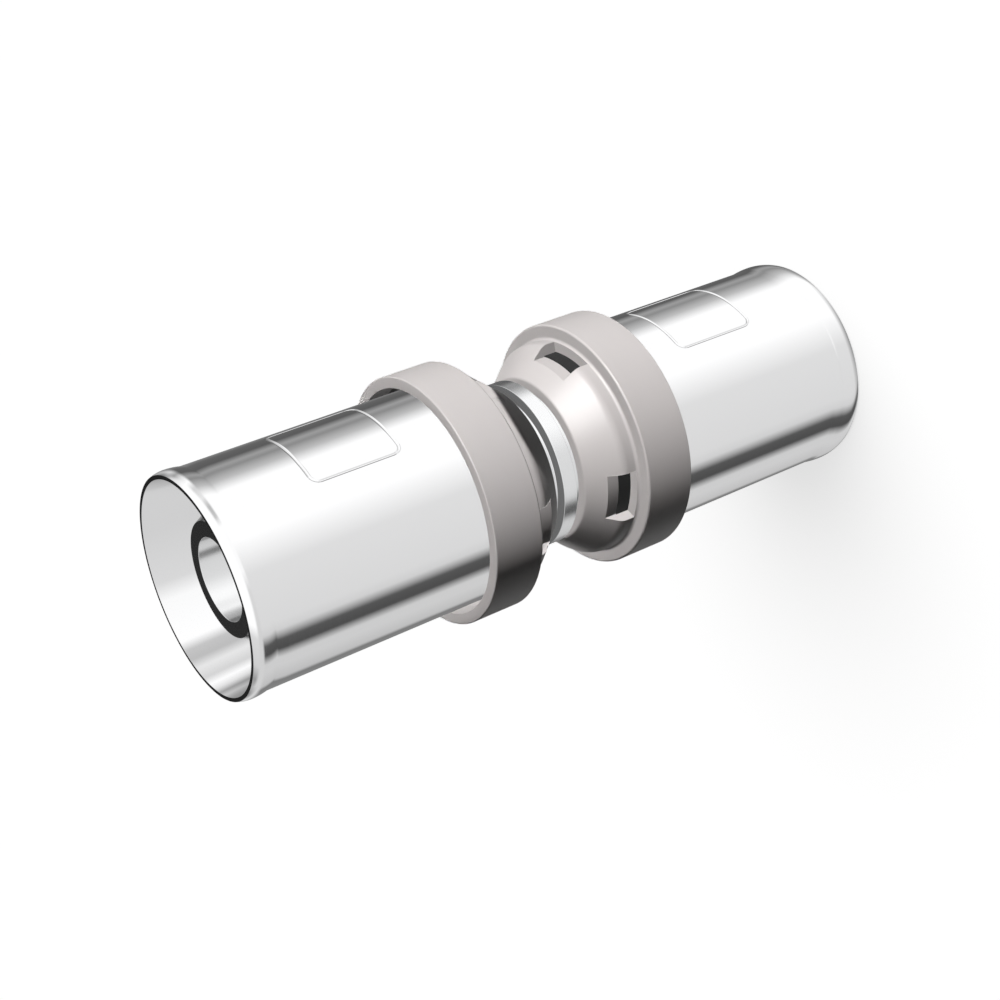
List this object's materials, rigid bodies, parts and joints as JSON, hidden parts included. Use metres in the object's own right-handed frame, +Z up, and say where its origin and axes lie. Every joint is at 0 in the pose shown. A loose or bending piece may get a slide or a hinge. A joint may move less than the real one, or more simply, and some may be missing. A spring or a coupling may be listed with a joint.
{
  "type": "press coupling",
  "caption": "Straight press coupling for multilayer pipe: a plated brass body with barbed spigots and O-rings under steel press sleeves, which plastic rings with inspection windows hold.",
  "frame": {"origin": "centre of the mouth of the lower press sleeve, on which the coupling stands", "axes": "+Z up the axis of the coupling, -Y towards the panel stamped into each sleeve; the windows face +X, -X, +Y and -Y"},
  "size_m": [0.0212, 0.0212, 0.0606],
  "materials": {
    "plated_brass": "turned brass under a bright tin plating",
    "sleeve_steel": "stainless steel, smooth and bright",
    "ring_plastic": "warm grey moulded plastic, satin",
    "insulator_plastic": "black moulded plastic",
    "seal_rubber": "black rubber"
  },
  "bodies": {
    "root": {"fitting_body": "plated_brass", "press_sleeve_top": "sleeve_steel", "press_sleeve_bottom": "sleeve_steel", "retaining_ring_top": "ring_plastic", "retaining_ring_bottom": "ring_plastic", "insulating_ring_top": "insulator_plastic", "insulating_ring_bottom": "insulator_plastic", "o_ring_top_outer": "seal_rubber", "o_ring_top_inner": "seal_rubber", "o_ring_bottom_inner": "seal_rubber", "o_ring_bottom_outer": "seal_rubber"}
  },
  "joints": []
}
